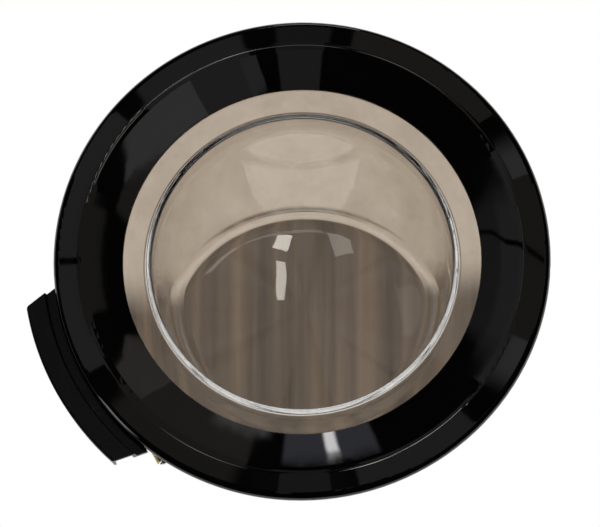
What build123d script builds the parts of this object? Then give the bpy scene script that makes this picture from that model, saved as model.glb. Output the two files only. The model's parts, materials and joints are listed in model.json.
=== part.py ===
from build123d import *
from math import atan2, cos, radians, sin, tan
import os

# Round glass door of a front-loading washing machine, in millimetres.
# +Z is up. The front looks along -Y and the machine lies on the +Y side.
# The origin is on the door's axis, at the middle of the glass's sealing neck.
# Angles are counter-clockwise from +X as seen from the front.
# Radial places are stepped outwards from the neck, depths backwards from the flange.

# Glass bowl
glass_wall = 5.5
neck_r = 152.0
neck_end_y = 8.0
flange_slope_w = 22.0
flange_flat_w = 13.0
flange_wall = 5.0
flange_front_y = -26.0
flange_drop = 5.0
mouth_round = 9.0
heel_round = 4.0
bowl_end_y = 121.0
bowl_draft = 6.6
bowl_dome_rise = 9.0
bowl_end_round = 24.0
slant_angle = 29.0

# Rubber cushion round the flange
cushion_grip = 8.0
cushion_wall = 1.5
cushion_rim = 2.0

# Steps outwards from the cushion to the door's rim
hook_pin_step = 9.0
pin_spacing = 14.0
rim_step = 28.0

# Front ring
crest_w = 27.0
window_step = 0.5
window_lift = 3.2
ring_wall = 2.6
roll_r = 7.0
roll_rise = 11.5
band_slope = 5.0
side_draft = 11.6
ring_back_lip = 6.0
crest_round = 16.0
lip_round = 0.8
lip_gap = 0.4

# Back frame
frame_wall = 2.5
frame_overlap = 21.0
frame_gap = 0.9
frame_rim_h = 13.5
frame_corner = 4.0
seat_rib_in = 4.0
seat_rib_w = 2.4
seat_rib_h = 3.0
rib_w = 1.8
rib_h = 5.0
rib_count = 36
rib_step = 2.0
rib_free_angle = 21.0
rib_margin = 6.0

# Screws that join the ring and the frame
screw_step = 8.0
screw_pitch = 40.0
screw_first = 20.0
screw_skip = 220.0
screw_shank_r = 1.9
screw_hole_r = 2.2
screw_head_r = 4.0
screw_head_h = 2.2
head_round = 1.0
cross_w = 0.9
cross_depth = 1.1
screw_tip = 0.5
recess_r = 5.0
recess_depth = 3.0
pad_floor = 3.0
pad_wall = 2.0
boss_r = 4.6
boss_bore_end = 4.5
tip_room = 1.0

# Rubber buffers
buffer_step = 17.0
buffer_angles = [50.0, 128.0, 246.0, 310.0]
buffer_r = 4.5
buffer_stem_r = 2.0
buffer_round = 1.2
buffer_clear = 1.0

# Hinge
hinge_step = 18.0
hinge_lift = 14.5
panel_gap = 5.0
plate_t = 2.5
plate_half_h = 44.0
plate_half_w = 12.0
plate_corner = 5.0
bolt_step = 21.0
bolt_pitch = 62.0
bolt_hole_r = 2.75
bolt_head_room_r = 5.8
ear_t = 3.0
ear_z = 22.5
ear_r = 6.0
ear_stem = 9.0
ear_foot = 5.0
ear_root_step = 19.0
ear_gap = 0.7
slot_side = 1.5
slot_in = 8.0
lug_t = 9.0
lug_r = 6.8
lug_foot_in = 16.0
lug_foot_out = 5.0
hinge_pin_r = 3.0
running_gap = 0.05
bush_wall = 1.1
bush_flange_t = 0.5
bush_flange_r = 5.6
pin_head_r = 5.0
pin_head_h = 2.0
pin_tip_chamfer = 0.5
clip_t = 0.8
clip_r = 5.2
clip_groove = 0.6
clip_gap = 0.3
clip_mouth = 0.8
arm_base_t = 3.5
arm_half_h = 59.0
arm_half_angle = 19.0
arm_step = 1.0
arm_edge_gap = 0.5
arm_web_t = 3.0
arm_web_gap = 4.0
arm_web_in = 16.0
arm_screw_step = 5.0
arm_screw_mid = 45.0
arm_screw_spread = 7.0
hinge_pocket_half = 44.0
hinge_pocket_in = 12.0

# Handle, pin and spring
latch_angle = 209.3
latch_pin_depth = 8.0
latch_pin_r = 2.0
handle_hub_r = 4.2
handle_neck_up = 2.5
handle_neck_down = 2.0
handle_root_step = 10.0
lip_step = 9.0
lip_w = 21.0
lip_rise = 11.5
lip_skirt = 5.5
lip_wall = 3.0
lip_lean = 1.0
lip_edge = 0.8
lip_out_round = 2.5
lip_tip_round = 5.0
handle_half = 22.9
handle_end_slant = 32.7
handle_margin = 6.0
handle_rib_count = 7
handle_rib_w = 1.6
handle_rib_pitch = 5.5
hub_overlap = 12.0
post_t = 6.0
post_r = 4.4
post_foot = 7.0
post_toe = 1.0
post_clear = 0.8
inner_post_t = 30.0
outer_post_t = 88.5
outer_hub_w = 14.5
hub_gap = 4.0
spring_wire = 2.2
spring_mean_r = 5.4
spring_turns = 6
spring_clear = 0.3
coil_gap = 0.25
notch_low_angle = 25.0
notch_high_angle = 31.0

# Hook and its bracket
hook_length = 37.5
hook_shank = 7.0
hook_w = 8.0
hook_low = -6.0
hook_nose = 10.0
hook_barb = 7.5
hook_barb_t = 3.0
hub_wall = 1.0
finger_r = 1.6
finger_gap = 0.4
finger_neck = 1.0
finger_reach = 7.0
finger_side_gap = 1.0
fork_wall = 2.0
fork_overhang = 0.9
fork_floor = 0.6
hook_spring_wire = 0.9
hook_spring_mean_r = 3.0
hook_spring_turns = 3
small_head_h = 1.4
small_head_w = 1.3
small_groove = 0.5
small_clip_w = 2.2
bracket_t = 1.5
bracket_half_w = 27.0
bracket_in_w = 6.5
bracket_out_w = 8.5
bracket_screw_t = 19.0
bracket_corner = 3.0
bracket_rail = 2.5
cheek_in = 6.6
cheek_r = 4.6
rivet_gap = 0.8
hook_slot_margin = 2.0
hook_slot_side = 0.5

# Helps for clean joins between solids
sunk = 0.5
lead_in = 30.0
slant_margin = 1.0
rim_search = 30.0
handle_reach = 60.0


def turned(shape, angle):
    """The shape, made at the +X side, carried round the door's axis."""
    return Rot(0, -angle, 0) * shape


def revolved(face):
    return revolve(face, Axis.Y, 360)


def box_between(x0, x1, y0, y1, z0, z1):
    size = (x1 - x0, y1 - y0, z1 - z0)
    return Pos((x0 + x1) / 2, (y0 + y1) / 2, (z0 + z1) / 2) * Box(*size)


def band(r0, r1, y0, y1):
    """A flat rectangle in the door's section, from radius r0 to r1."""
    return make_face(Polyline((r0, y0), (r1, y0), (r1, y1), (r0, y1), close=True))


def sector(r0, r1, y0, y1, a0, a1):
    """A slice of a ring between two angles."""
    return turned(revolve(band(r0, r1, y0, y1), Axis.Y, a1 - a0), a1)


def rod(x, y, z0, z1, r):
    """A cylinder along Z."""
    return Pos(x, y, (z0 + z1) / 2) * Cylinder(r, z1 - z0)


def stud(r, angle, y0, y1, radius):
    """A cylinder along Y at a place given by radius and angle."""
    body = Pos(r, (y0 + y1) / 2, 0) * Rot(90, 0, 0) * Cylinder(radius, y1 - y0)
    return turned(body, angle)


# Radial places, from the neck outwards
flange_flat_r = neck_r + flange_slope_w
flange_r = flange_flat_r + flange_flat_w
window_r = flange_flat_r - window_step
frame_inner_r = flange_r - frame_overlap
cushion_inner_r = flange_r - cushion_grip
cushion_r = flange_r + cushion_rim
seat_rib_r = cushion_inner_r + seat_rib_in
rib_inner_r = cushion_r + rib_step
screw_circle_r = cushion_r + screw_step
buffer_circle_r = screw_circle_r + buffer_step
hook_pin_at_r = cushion_r + hook_pin_step
handle_pin_at_r = hook_pin_at_r + pin_spacing
finger_at_r = handle_pin_at_r - finger_reach
outer_r = handle_pin_at_r + rim_step
crest_r = outer_r - crest_w
handle_root_r = handle_pin_at_r + handle_root_step
lip_in_r = outer_r + lip_step
lip_out_r = lip_in_r + lip_w
hinge_x = outer_r - hinge_step
bolt_x = hinge_x - bolt_step
ear_root_x = hinge_x - ear_root_step
slot_x_in = ear_root_x - slot_in
arm_in_r = cushion_r + arm_step
arm_screw_x = cushion_r + arm_screw_step
bracket_in = hook_pin_at_r - bracket_in_w
bracket_out = hook_pin_at_r + bracket_out_w
hook_slot_in = bracket_in - hook_slot_margin
hook_slot_out = handle_pin_at_r
hook_slot_half = cheek_in + bracket_t + hook_slot_side

# Depths, from the flange backwards
flange_back_y = flange_front_y + flange_wall
cushion_front_y = flange_front_y - cushion_wall
cushion_back_y = flange_back_y + cushion_wall
frame_front_y = cushion_back_y + seat_rib_h
frame_back_y = frame_front_y + frame_wall
frame_rim_front_y = frame_front_y - frame_rim_h
rib_front_y = frame_front_y - rib_h
ring_back_y = frame_back_y - ring_back_lip
window_y = flange_front_y - window_lift
roll_y = flange_front_y - roll_rise
notch_front_y = roll_y + sunk
boss_floor_y = roll_y + boss_bore_end
pad_front_y = frame_back_y - recess_depth - pad_floor
panel_y = frame_back_y + panel_gap
buffer_back_y = panel_y - buffer_clear
plate_front_y = panel_y - plate_t
hinge_y = frame_front_y - hinge_lift
arm_front_y = frame_front_y - arm_base_t
latch_pin_y = frame_front_y - latch_pin_depth
neck_front_y = latch_pin_y - handle_neck_up
neck_back_y = latch_pin_y + handle_neck_down
lip_front_y = latch_pin_y - lip_rise
lip_back_y = latch_pin_y + lip_skirt
hook_nose_y = latch_pin_y + hook_length

# The ring's outer corner, tangent to a band and a side that both slope
half_roll = (90 - band_slope + side_draft) / 2
roll_mid = radians(side_draft - half_roll)
roll_reach = roll_r / cos(radians(half_roll))
corner_r = outer_r - roll_r + roll_reach * cos(roll_mid)
corner_y = roll_y + roll_reach * sin(roll_mid)
crest_y = corner_y - (corner_r - crest_r) * tan(radians(band_slope))
ring_back_r = corner_r - (ring_back_y - corner_y) * tan(radians(side_draft))
frame_r = ring_back_r - ring_wall - frame_gap
arm_out_r = frame_r - frame_corner - arm_edge_gap

# Places along the hinge's and the handle's pins
lug_z = ear_z + ear_t + ear_gap + bush_flange_t
bush_r = hinge_pin_r + running_gap + bush_wall
arm_screw_z = [s * (arm_screw_mid + d) for s in (1, -1) for d in (-arm_screw_spread, arm_screw_spread)]
post_places = [-outer_post_t, -inner_post_t, inner_post_t, outer_post_t]
hub_end = outer_post_t - hub_gap
hub_spans = [
    (-hub_end, outer_hub_w - hub_end),
    (hub_gap - inner_post_t, inner_post_t - hub_gap),
    (hub_end - outer_hub_w, hub_end),
]
spring_start_t = outer_post_t + post_t / 2 + spring_clear + spring_wire / 2
spring_pitch = spring_wire + coil_gap
spring_clip_t = spring_start_t + spring_turns * spring_pitch + spring_wire / 2 + spring_clear
handle_pin_low = -outer_post_t - hub_gap
handle_pin_high = spring_clip_t + 3 * clip_t
finger_w = hook_w - finger_side_gap
latch_notch = (latch_angle - notch_low_angle, latch_angle + notch_high_angle)
screw_angles = [screw_first + screw_pitch * i for i in range(9)]
screw_angles = [a for a in screw_angles if a != screw_skip]


def ring_skin():
    """The section of the moulded skin, from the window's edge to the side."""
    corners = [
        (window_r, flange_front_y - lip_gap),
        (window_r, window_y),
        (crest_r, crest_y),
        (corner_r, corner_y),
        (ring_back_r, ring_back_y),
    ]
    path = FilletPolyline(*corners, radius=[lip_round, crest_round, roll_r])
    return make_face(offset(path, amount=ring_wall, side=Side.LEFT))


def under_skin():
    """Everything inside the ring's skin, to trim ribs and bosses against it."""
    corners = [
        (window_r, window_y),
        (crest_r, crest_y),
        (corner_r, corner_y),
        (ring_back_r, ring_back_y),
        (window_r, ring_back_y),
    ]
    return Pos(0, ring_wall / 2, 0) * revolved(make_face(Polyline(*corners, close=True)))


def front_ring():
    skin = revolved(ring_skin())
    seat = revolved(band(seat_rib_r, seat_rib_r + seat_rib_w, crest_y, cushion_front_y))
    bosses = [stud(screw_circle_r, a, crest_y, pad_front_y, boss_r) for a in screw_angles]
    ribs = Compound(bosses) + seat
    body = skin + (ribs & under_skin())
    for a in screw_angles:
        body -= stud(screw_circle_r, a, boss_floor_y, pad_front_y, screw_shank_r)
    body -= sector(frame_r, outer_r + 1, notch_front_y, ring_back_y + 1, *latch_notch)
    for z in (ear_z, -ear_z):
        body -= hinge_slot(z, notch_front_y)
    return body


def hinge_slot(z, front_y):
    """A slot that one ear of the bracket sweeps through as the door turns."""
    mid = z + (ear_t / 2 if z > 0 else -ear_t / 2)
    half = ear_t / 2 + slot_side
    return box_between(slot_x_in, outer_r + 1, front_y, frame_back_y + 1, mid - half, mid + half)


def bowl_body(inset):
    """The bowl as a solid, as deep as its outer face or less by the inset."""
    r = neck_r - inset
    end_y = bowl_end_y - inset
    end_r = r - (end_y - neck_end_y) * tan(radians(bowl_draft))
    side = Polyline((0, neck_end_y), (r, neck_end_y), (end_r, end_y))
    cap = ThreePointArc((end_r, end_y), (end_r / 2, end_y + bowl_dome_rise * 0.75),
                        (0, end_y + bowl_dome_rise))
    pot = revolved(make_face(Curve() + side + cap + Line((0, end_y + bowl_dome_rise), (0, neck_end_y))))
    lean = radians(slant_angle)
    start_z = lead_in * tan(lean) + inset - inset / cos(lean)
    start = Plane((0, neck_end_y - lead_in, start_z), x_dir=(1, 0, 0), z_dir=(0, 1, 0))
    run = (bowl_end_y + bowl_dome_rise + lead_in) / cos(lean)
    slanted = extrude(start * Circle(r + slant_margin), amount=run, dir=(0, cos(lean), -sin(lean)))
    solid = pot & slanted
    rim = [e for e in solid.edges() if e.bounding_box().min.Y > neck_end_y + rim_search]
    return fillet(rim, bowl_end_round - inset)


def flange_and_neck():
    """The flange that the frame clamps, and the round neck behind it."""
    mouth_r = neck_r - glass_wall
    mouth_y = flange_front_y + flange_drop
    heel_y = mouth_y + flange_wall
    front = FilletPolyline(
        (flange_r, flange_front_y), (flange_flat_r, flange_front_y),
        (mouth_r, mouth_y), (mouth_r, neck_end_y),
        radius=[mouth_round, mouth_round])
    back = FilletPolyline(
        (neck_r, neck_end_y), (neck_r, heel_y),
        (flange_flat_r, flange_back_y), (flange_r, flange_back_y),
        radius=[heel_round, mouth_round])
    foot = Line((mouth_r, neck_end_y), (neck_r, neck_end_y))
    edge = Line((flange_r, flange_back_y), (flange_r, flange_front_y))
    return revolved(make_face(Curve() + front + foot + back + edge))


def glass_bowl():
    shell = bowl_body(0) - bowl_body(glass_wall)
    return flange_and_neck() + shell


def glass_cushion():
    """A rubber channel that wraps the flange's edge."""
    outside = band(cushion_inner_r, cushion_r, cushion_front_y, cushion_back_y)
    inside = band(cushion_inner_r, flange_r, flange_front_y, flange_back_y)
    return revolved(outside - inside)


def frame_skin():
    """The frame's section: a flat back wall with a round corner and a rim."""
    back = FilletPolyline(
        (frame_r, frame_rim_front_y), (frame_r, frame_back_y), (frame_inner_r, frame_back_y),
        radius=frame_corner)
    front = Polyline(
        (frame_inner_r, frame_back_y), (frame_inner_r, frame_rim_front_y),
        (frame_r, frame_rim_front_y))
    outside = make_face(Curve() + back + front)
    return outside - band(frame_inner_r, frame_r - frame_wall, frame_rim_front_y, frame_front_y)


def frame_ribs():
    """Low stiffening ribs on the hidden front of the frame."""
    ribs = []
    for i in range(rib_count):
        a = 360.0 / rib_count * (i + 0.5)
        near_hinge = a < rib_free_angle or a > 360 - rib_free_angle
        near_latch = latch_notch[0] - rib_margin < a < latch_notch[1] + rib_margin / 2
        if near_hinge or near_latch:
            continue
        rib = box_between(
            rib_inner_r, frame_r - frame_wall / 2,
            rib_front_y, frame_front_y + sunk,
            -rib_w / 2, rib_w / 2)
        ribs.append(turned(rib, a))
    return ribs


def pin_post(t):
    """A post on the frame that carries the handle's pin."""
    outline = make_hull([
        *(Pos(handle_pin_at_r, latch_pin_y) * Circle(post_r)).edges(),
        Line((handle_pin_at_r - post_foot, frame_front_y + sunk),
             (handle_pin_at_r + post_toe, frame_front_y + sunk)),
    ])
    return Pos(0, 0, t - post_t / 2) * extrude(outline, post_t)


def wall_hole(x, z, radius):
    """A round hole through the frame's back wall, before it is turned."""
    return Pos(0, 0, z) * stud(x, 0, frame_front_y, frame_back_y, radius)


def frame_holes():
    """What is cut from the frame for screws, bolts, buffers, pins and the hook."""
    holes = []
    for a in screw_angles:
        holes.append(stud(screw_circle_r, a, frame_back_y - recess_depth, frame_back_y, recess_r))
        holes.append(stud(screw_circle_r, a, pad_front_y, frame_back_y, screw_hole_r))
    for z in (ear_z, -ear_z):
        holes.append(hinge_slot(z, frame_rim_front_y))
    for z in arm_screw_z:
        holes.append(wall_hole(arm_screw_x, z, screw_hole_r))
    for z in (bolt_pitch / 2, -bolt_pitch / 2):
        holes.append(wall_hole(bolt_x, z, bolt_head_room_r))
    for t in (bracket_screw_t, -bracket_screw_t):
        holes.append(turned(wall_hole(hook_pin_at_r, t, screw_hole_r), latch_angle))
    for a in buffer_angles:
        holes.append(stud(buffer_circle_r, a, frame_front_y, frame_back_y, buffer_stem_r))
    pin = rod(handle_pin_at_r, latch_pin_y, handle_pin_low - 1, handle_pin_high, latch_pin_r)
    slot = box_between(
        hook_slot_in, hook_slot_out, frame_front_y - 1, frame_back_y + 1,
        -hook_slot_half, hook_slot_half)
    holes += [turned(pin, latch_angle), turned(slot, latch_angle)]
    return holes


def back_frame():
    """The moulded back half: a skin with ribs, screw pads and the handle's posts."""
    body = revolved(frame_skin())
    body += revolved(band(seat_rib_r, seat_rib_r + seat_rib_w, cushion_back_y, frame_front_y + sunk))
    body += frame_ribs()
    pad_r = recess_r + pad_wall
    body += [stud(screw_circle_r, a, pad_front_y, frame_front_y + sunk, pad_r) for a in screw_angles]
    body -= sector(frame_r - frame_wall, outer_r, frame_rim_front_y - 1, frame_front_y, *latch_notch)
    body -= box_between(
        hinge_x - hinge_pocket_in, outer_r, frame_rim_front_y - 1, frame_front_y,
        -hinge_pocket_half, hinge_pocket_half)
    body += [turned(pin_post(t), latch_angle) for t in post_places]
    for hole in frame_holes():
        body -= hole
    return body


def pan_screw(head_y, tip_y):
    """A screw along Y with its head to the back and a cross recess."""
    top = head_y + screw_head_h
    head = stud(0, 0, head_y, top, screw_head_r)
    head = fillet(head.edges().filter_by(GeomType.CIRCLE).sort_by(Axis.Y)[-1], head_round)
    shank = stud(0, 0, tip_y, head_y, screw_shank_r)
    cross = Box(screw_head_r, cross_depth * 2, cross_w) + Box(cross_w, cross_depth * 2, screw_head_r)
    return head + shank - Pos(0, top, 0) * cross


def frame_screws():
    seat_y = frame_back_y - recess_depth
    one = pan_screw(seat_y, boss_floor_y + tip_room)
    return Compound([turned(Pos(screw_circle_r, 0, 0) * one, a) for a in screw_angles])


def door_buffers():
    """Rubber stops that keep the frame off the cabinet."""
    dome = stud(buffer_circle_r, 0, frame_back_y, buffer_back_y, buffer_r)
    dome = fillet(dome.edges().filter_by(GeomType.CIRCLE).sort_by(Axis.Y)[-1], buffer_round)
    one = dome + stud(buffer_circle_r, 0, frame_front_y, frame_back_y, buffer_stem_r)
    return Compound([turned(one, a) for a in buffer_angles])


def ear_outline():
    """The arm of the fixed bracket, from its plate to the hinge pin."""
    lean = atan2(plate_front_y - hinge_y, ear_root_x - hinge_x)
    side = Vector(sin(lean), -cos(lean)) * (ear_stem / 2)
    pin_at = Vector(hinge_x, hinge_y)
    root = Vector(ear_root_x, panel_y - plate_t / 2)
    stem = make_face(Polyline(pin_at + side, root + side, root - side, pin_at - side, close=True))
    disc = Pos(hinge_x, hinge_y) * Circle(ear_r)
    foot = make_face(Polyline(
        (ear_root_x - ear_foot, plate_front_y), (ear_root_x + ear_foot, plate_front_y),
        (ear_root_x + ear_stem / 4, plate_front_y - ear_foot),
        (ear_root_x - ear_stem / 4, plate_front_y - ear_foot / 2), close=True))
    keep = band(bolt_x - plate_half_w, outer_r, hinge_y - ear_stem, panel_y - plate_t / 2)
    return (stem + disc + foot) & keep


def hinge_bracket():
    """The steel bracket on the cabinet: a plate with two arms bent forward."""
    plate = box_between(
        bolt_x - plate_half_w, bolt_x + plate_half_w, plate_front_y, panel_y,
        -plate_half_h, plate_half_h)
    body = fillet(plate.edges().filter_by(Axis.Y), plate_corner)
    for z in (ear_z, -ear_z - ear_t):
        body += Pos(0, 0, z) * extrude(ear_outline(), ear_t)
    body -= rod(hinge_x, hinge_y, -plate_half_h, plate_half_h, hinge_pin_r)
    for z in (bolt_pitch / 2, -bolt_pitch / 2):
        body -= Pos(0, 0, z) * stud(bolt_x, 0, plate_front_y, panel_y, bolt_hole_r)
    return body


def lug_outline():
    return make_hull([
        *(Pos(hinge_x, hinge_y) * Circle(lug_r)).edges(),
        Line((hinge_x - lug_foot_in, arm_front_y), (hinge_x + lug_foot_out, arm_front_y)),
    ])


def hinge_arm():
    """The cast arm inside the door that turns on the hinge pin."""
    body = sector(arm_in_r, arm_out_r, arm_front_y, frame_front_y, -arm_half_angle, arm_half_angle)
    body &= box_between(0, hinge_x + lug_foot_out, arm_front_y, frame_front_y, -arm_half_h, arm_half_h)
    for z in (lug_z, -lug_z - lug_t):
        body += Pos(0, 0, z) * extrude(lug_outline(), lug_t)
    web_x = hinge_x - lug_foot_in
    web = box_between(
        web_x, web_x + arm_web_t, hinge_y + arm_web_gap, arm_front_y,
        lug_z + lug_t, arm_half_h - arm_web_in)
    body += [web, mirror(web, Plane.XY)]
    for z in (lug_z + lug_t / 2, -lug_z - lug_t / 2):
        body -= rod(hinge_x, hinge_y, z - lug_t, z + lug_t, bush_r)
    for z in (ear_z, -ear_z):
        body -= hinge_slot(z, arm_front_y - 1)
    for z in arm_screw_z:
        body -= Pos(0, 0, z) * stud(arm_screw_x, 0, arm_front_y, frame_front_y, screw_shank_r)
    return body


def hinge_bush(side):
    """A flanged plastic bush in one lug; the flange faces the bracket's arm."""
    tube = rod(hinge_x, hinge_y, lug_z, lug_z + lug_t, bush_r)
    tube += rod(hinge_x, hinge_y, lug_z - bush_flange_t, lug_z, bush_flange_r)
    tube -= rod(hinge_x, hinge_y, lug_z - 1, lug_z + lug_t, hinge_pin_r + running_gap)
    return tube if side > 0 else mirror(tube, Plane.XY)


def hinge_pin():
    """A headed pin with a groove for its clip at the top."""
    top = lug_z + lug_t
    pin = rod(hinge_x, hinge_y, -top - clip_gap, top + clip_gap + 3 * clip_t, hinge_pin_r)
    pin += rod(hinge_x, hinge_y, -top - clip_gap - pin_head_h, -top - clip_gap, pin_head_r)
    groove = rod(hinge_x, hinge_y, top + clip_gap, top + clip_gap + clip_t, hinge_pin_r)
    groove -= rod(hinge_x, hinge_y, top + clip_gap, top + clip_gap + clip_t, hinge_pin_r - clip_groove)
    pin -= groove
    return chamfer(pin.edges().filter_by(GeomType.CIRCLE).sort_by(Axis.Z)[-1], pin_tip_chamfer)


def clip(x, y, z, groove_r, outer):
    """A flat spring clip with a mouth, snapped into a pin's groove."""
    ring = rod(x, y, z, z + clip_t, outer) - rod(x, y, z, z + clip_t, groove_r)
    half = groove_r * clip_mouth
    mouth = box_between(x, x + outer + 1, y - half, y + half, z, z + clip_t)
    return ring - mouth


def hinge_pin_clip():
    return clip(hinge_x, hinge_y, lug_z + lug_t + clip_gap, hinge_pin_r - clip_groove, clip_r)


def arm_screws():
    one = pan_screw(frame_back_y, arm_front_y + screw_tip)
    return Compound([Pos(arm_screw_x, 0, z) * one for z in arm_screw_z])


def handle_section():
    """The section of the pull: a neck, a groove and a hollow lip."""
    edge_r = lip_in_r + lip_lean + lip_edge
    lip = FilletPolyline(
        (edge_r, lip_front_y), (lip_out_r, lip_front_y), (lip_out_r - lip_lean, lip_back_y),
        radius=lip_out_round)
    rest = Polyline(
        (lip_out_r - lip_lean, lip_back_y), (lip_out_r - lip_wall, lip_back_y),
        (lip_out_r - lip_wall, lip_front_y + lip_wall),
        (lip_in_r + lip_wall, lip_front_y + lip_wall), (lip_in_r + lip_wall, neck_back_y),
        (handle_root_r, neck_back_y), (handle_root_r, neck_front_y), (lip_in_r, neck_front_y),
        (lip_in_r + lip_lean, lip_front_y + lip_edge), (edge_r, lip_front_y))
    return make_face(Curve() + lip + rest)


def handle_trim():
    """The pull's outline from the front, with slanted ends and round outer corners."""
    low = Vector(cos(radians(handle_half)), sin(radians(handle_half))) * outer_r
    lean_dir = radians(handle_half + 180 - handle_end_slant)
    step = Vector(cos(lean_dir), sin(lean_dir))
    out = low - step * handle_reach
    root = low + step * handle_reach
    corners = [(out.X, out.Y), (root.X, root.Y), (root.X, -root.Y), (out.X, -out.Y)]
    outline = make_face(Polyline(*corners, close=True)) & Circle(lip_out_r)
    tips = outline.vertices().sort_by(lambda v: v.X ** 2 + v.Y ** 2)[-2:]
    outline = fillet(tips, lip_tip_round)
    plane = Plane((0, 0, 0), x_dir=(1, 0, 0), z_dir=(0, -1, 0))
    return extrude(plane * outline, handle_reach)


def handle_ribs():
    """Cross ribs in the hollow back of the lip."""
    ribs = []
    for i in range(handle_rib_count):
        rib = box_between(
            lip_in_r + 1, lip_out_r - lip_wall / 2, lip_front_y + 1, neck_back_y - 1,
            -handle_rib_w / 2, handle_rib_w / 2)
        ribs.append(turned(rib, (i - (handle_rib_count - 1) / 2) * handle_rib_pitch))
    return ribs


def handle_hub(t0, t1):
    """One length of the handle's knuckle, joined to the pull."""
    arm = box_between(
        handle_pin_at_r, handle_root_r + hub_overlap, neck_front_y, neck_back_y, t0, t1)
    return arm + rod(handle_pin_at_r, latch_pin_y, t0, t1, handle_hub_r)


def handle_finger():
    """The finger with a round tip that moves the hook."""
    neck = box_between(
        finger_at_r, handle_pin_at_r, latch_pin_y - finger_neck, latch_pin_y + finger_neck,
        hook_low, hook_low + finger_w)
    return neck + rod(finger_at_r, latch_pin_y, hook_low, hook_low + finger_w, finger_r)


def handle_gaps():
    """Lengths along the pin where the handle leaves room for the posts and the spring."""
    half = post_t / 2 + post_clear
    end = outer_post_t - half
    return [
        (-end - handle_reach, -end),
        (-inner_post_t - half, half - inner_post_t),
        (inner_post_t - half, inner_post_t + half),
        (end, end + handle_reach),
    ]


def door_handle():
    """The moulded pull with its hollow lip, knuckles and finger."""
    half_sweep = handle_half + handle_margin
    pull = turned(revolve(handle_section(), Axis.Y, 2 * half_sweep), half_sweep)
    body = (pull & handle_trim()) + handle_ribs()
    for t0, t1 in hub_spans:
        body += handle_hub(t0, t1)
    for low, high in handle_gaps():
        body -= box_between(
            0, handle_pin_at_r + post_r * 2,
            neck_front_y - 1, neck_back_y + 1, low, high)
    body += handle_finger()
    bore = latch_pin_r + running_gap
    body -= rod(handle_pin_at_r, latch_pin_y, handle_pin_low, handle_pin_high, bore)
    return turned(body, latch_angle)


def handle_pin():
    pin = rod(handle_pin_at_r, latch_pin_y, handle_pin_low, handle_pin_high, latch_pin_r)
    pin += rod(
        handle_pin_at_r, latch_pin_y, handle_pin_low - small_head_h, handle_pin_low,
        latch_pin_r + small_head_w)
    neck = rod(
        handle_pin_at_r, latch_pin_y, spring_clip_t, spring_clip_t + clip_t,
        latch_pin_r - small_groove)
    pin -= rod(handle_pin_at_r, latch_pin_y, spring_clip_t, spring_clip_t + clip_t, latch_pin_r)
    return turned(pin + neck, latch_angle)


def handle_pin_clip():
    groove_r = latch_pin_r - small_groove
    one = clip(handle_pin_at_r, latch_pin_y, spring_clip_t, groove_r, latch_pin_r + small_clip_w)
    return turned(one, latch_angle)


def coil(x, y, z, mean_r, wire_r, turns, pitch):
    """A close-wound spring round a pin along Z."""
    path = Pos(x, y, z) * Helix(pitch=pitch, height=pitch * turns, radius=mean_r)
    start = Plane(path @ 0, z_dir=path % 0)
    return sweep(start * Circle(wire_r), path=path, is_frenet=True)


def handle_spring():
    one = coil(
        handle_pin_at_r, latch_pin_y, spring_start_t, spring_mean_r, spring_wire / 2,
        spring_turns, spring_pitch)
    return turned(one, latch_angle)


def hook_outline():
    """Hub, fork and barbed shank, seen along the pin."""
    half = hook_shank / 2
    barb_x = hook_pin_at_r + half + hook_barb
    barb_y = hook_nose_y - hook_nose + hook_barb_t / 2
    hub = Pos(hook_pin_at_r, latch_pin_y) * Circle(half + hub_wall)
    shank = make_face(Polyline(
        (hook_pin_at_r - half, latch_pin_y), (hook_pin_at_r + half, latch_pin_y),
        (hook_pin_at_r + half, hook_nose_y - hook_nose), (barb_x, barb_y),
        (barb_x - 1, barb_y + hook_barb_t), (hook_pin_at_r + 1, hook_nose_y),
        (hook_pin_at_r - half, hook_nose_y - 2), close=True))
    slot_half = finger_r + finger_gap
    fork_half = slot_half + fork_wall
    fork = band(
        hook_pin_at_r, finger_at_r + fork_overhang, latch_pin_y - fork_half, latch_pin_y + fork_half)
    slot = band(
        finger_at_r - finger_r - fork_floor, finger_at_r + 2 * fork_overhang,
        latch_pin_y - slot_half, latch_pin_y + slot_half)
    return hub + shank + fork - slot


def latch_hook():
    """The cast hook that the handle's finger turns."""
    body = Pos(0, 0, hook_low) * extrude(hook_outline(), hook_w)
    bore = latch_pin_r + running_gap
    body -= rod(hook_pin_at_r, latch_pin_y, hook_low, hook_low + hook_w, bore)
    return turned(body, latch_angle)


def cheek_outline():
    foot_y = frame_front_y - bracket_t
    return make_hull([
        *(Pos(hook_pin_at_r, latch_pin_y) * Circle(cheek_r)).edges(),
        Line((hook_pin_at_r - cheek_r - 1, foot_y), (hook_pin_at_r + cheek_r, foot_y)),
    ])


def latch_bracket():
    """A folded steel carrier with two cheeks that hold the hook's pin."""
    front_y = frame_front_y - bracket_t
    body = box_between(
        bracket_in, bracket_out, front_y, frame_front_y, -bracket_half_w, bracket_half_w)
    body = fillet(body.edges().filter_by(Axis.Y), bracket_corner)
    body -= box_between(
        hook_slot_in, bracket_out - bracket_rail, front_y, frame_front_y, -cheek_in, cheek_in)
    for t in (cheek_in, -cheek_in - bracket_t):
        body += Pos(0, 0, t) * extrude(cheek_outline(), bracket_t)
    body -= rod(hook_pin_at_r, latch_pin_y, -bracket_half_w, bracket_half_w, latch_pin_r)
    for t in (bracket_screw_t, -bracket_screw_t):
        body -= Pos(0, 0, t) * stud(hook_pin_at_r, 0, front_y, frame_front_y, screw_shank_r)
    return turned(body, latch_angle)


def latch_screws():
    one = pan_screw(frame_back_y, frame_front_y - bracket_t - 3 * screw_tip)
    places = (bracket_screw_t, -bracket_screw_t)
    return Compound([turned(Pos(hook_pin_at_r, 0, t) * one, latch_angle) for t in places])


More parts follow.
